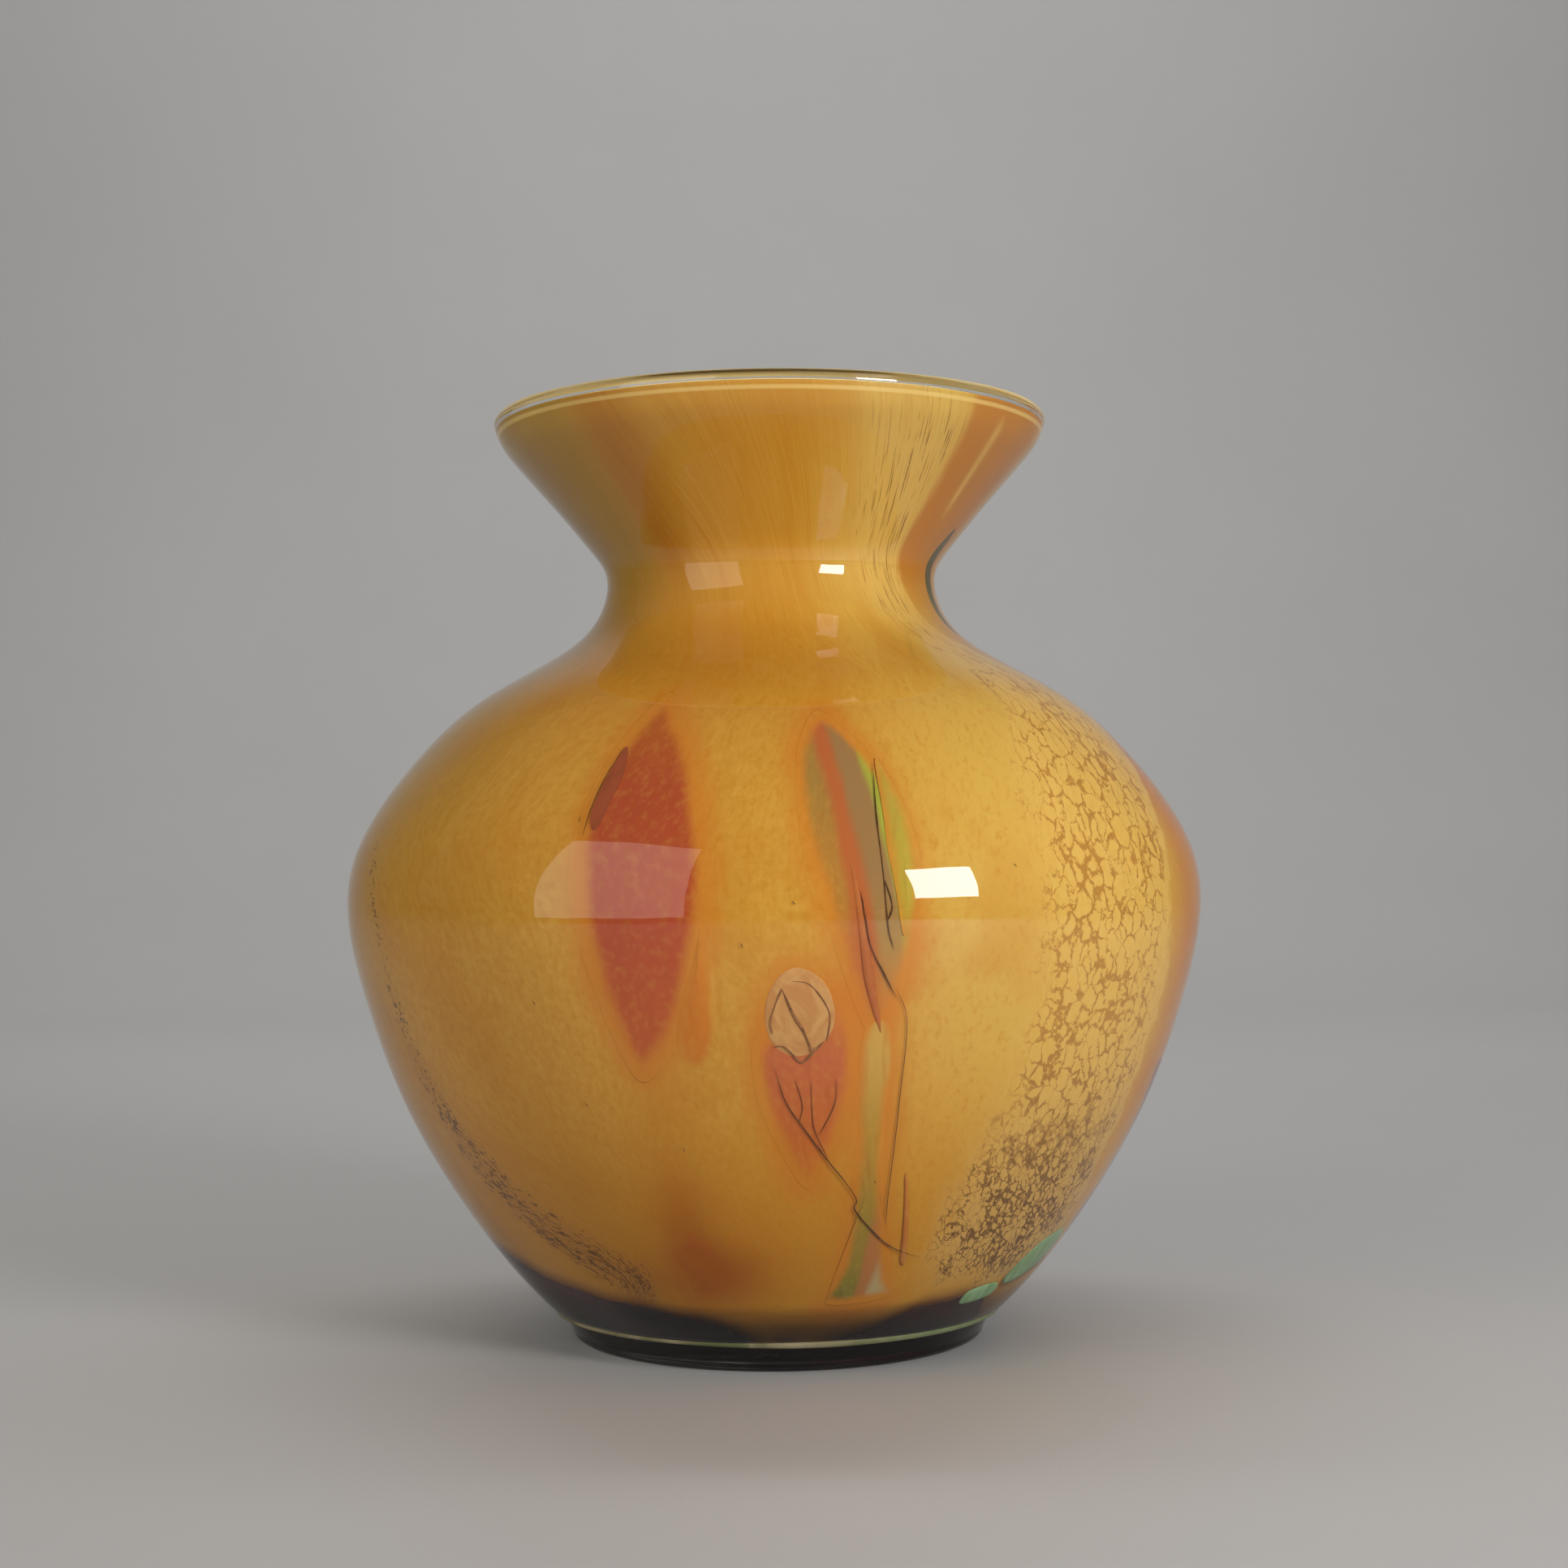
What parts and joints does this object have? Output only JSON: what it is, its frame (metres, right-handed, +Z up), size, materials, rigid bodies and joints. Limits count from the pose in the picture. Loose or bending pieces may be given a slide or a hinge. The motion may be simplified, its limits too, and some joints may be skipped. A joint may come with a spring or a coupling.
{
  "type": "cased glass vase",
  "caption": "Hand blown cased glass vase: round body, narrow neck, flared lip, clear foot, coloured glass bits laid between its layers.",
  "frame": {"origin": "centre of the flat ring it rests on, at the bottom of the foot", "axes": "+Z up the axis of the vase towards the lip; -Y is the front, with the red and green petals; +X is the right of the front view"},
  "size_m": [0.222, 0.222, 0.24],
  "materials": {
    "clear_glass": "fire polished",
    "amber_glass": "opal, fine powder mottling",
    "opal_glass": "opal, glossy",
    "amethyst_glass": "transparent, very dark",
    "pale_green_glass": "opal",
    "red_glass": "translucent",
    "orange_glass": "translucent",
    "green_glass": "translucent",
    "lime_glass": "translucent",
    "smoke_glass": "translucent",
    "honey_glass": "translucent, chipped grain",
    "brown_glass": "translucent",
    "mint_glass": "opal",
    "olive_glass": "translucent",
    "straw_glass": "opal, crackled open over amber"
  },
  "bodies": {
    "root": {"clear_casing": "clear_glass", "clear_foot": "clear_glass", "amber_overlay": "amber_glass", "opal_lining": "opal_glass", "amethyst_pool": "amethyst_glass", "foot_ribbon": "pale_green_glass", "red_petal": "red_glass", "orange_lobe": "orange_glass", "green_petal": "green_glass", "petal_vein": "red_glass", "lime_edge": "lime_glass", "smoke_lens": "smoke_glass", "honey_seed": "honey_glass", "seed_vein": "brown_glass", "rose_drop": "orange_glass", "green_stem": "green_glass", "peach_stem": "orange_glass", "dark_threads": "brown_glass", "mint_chips": "mint_glass", "burgundy_wash": "amethyst_glass", "olive_slip": "olive_glass", "straw_crackle": "straw_glass", "brown_flecks": "brown_glass"}
  },
  "joints": []
}
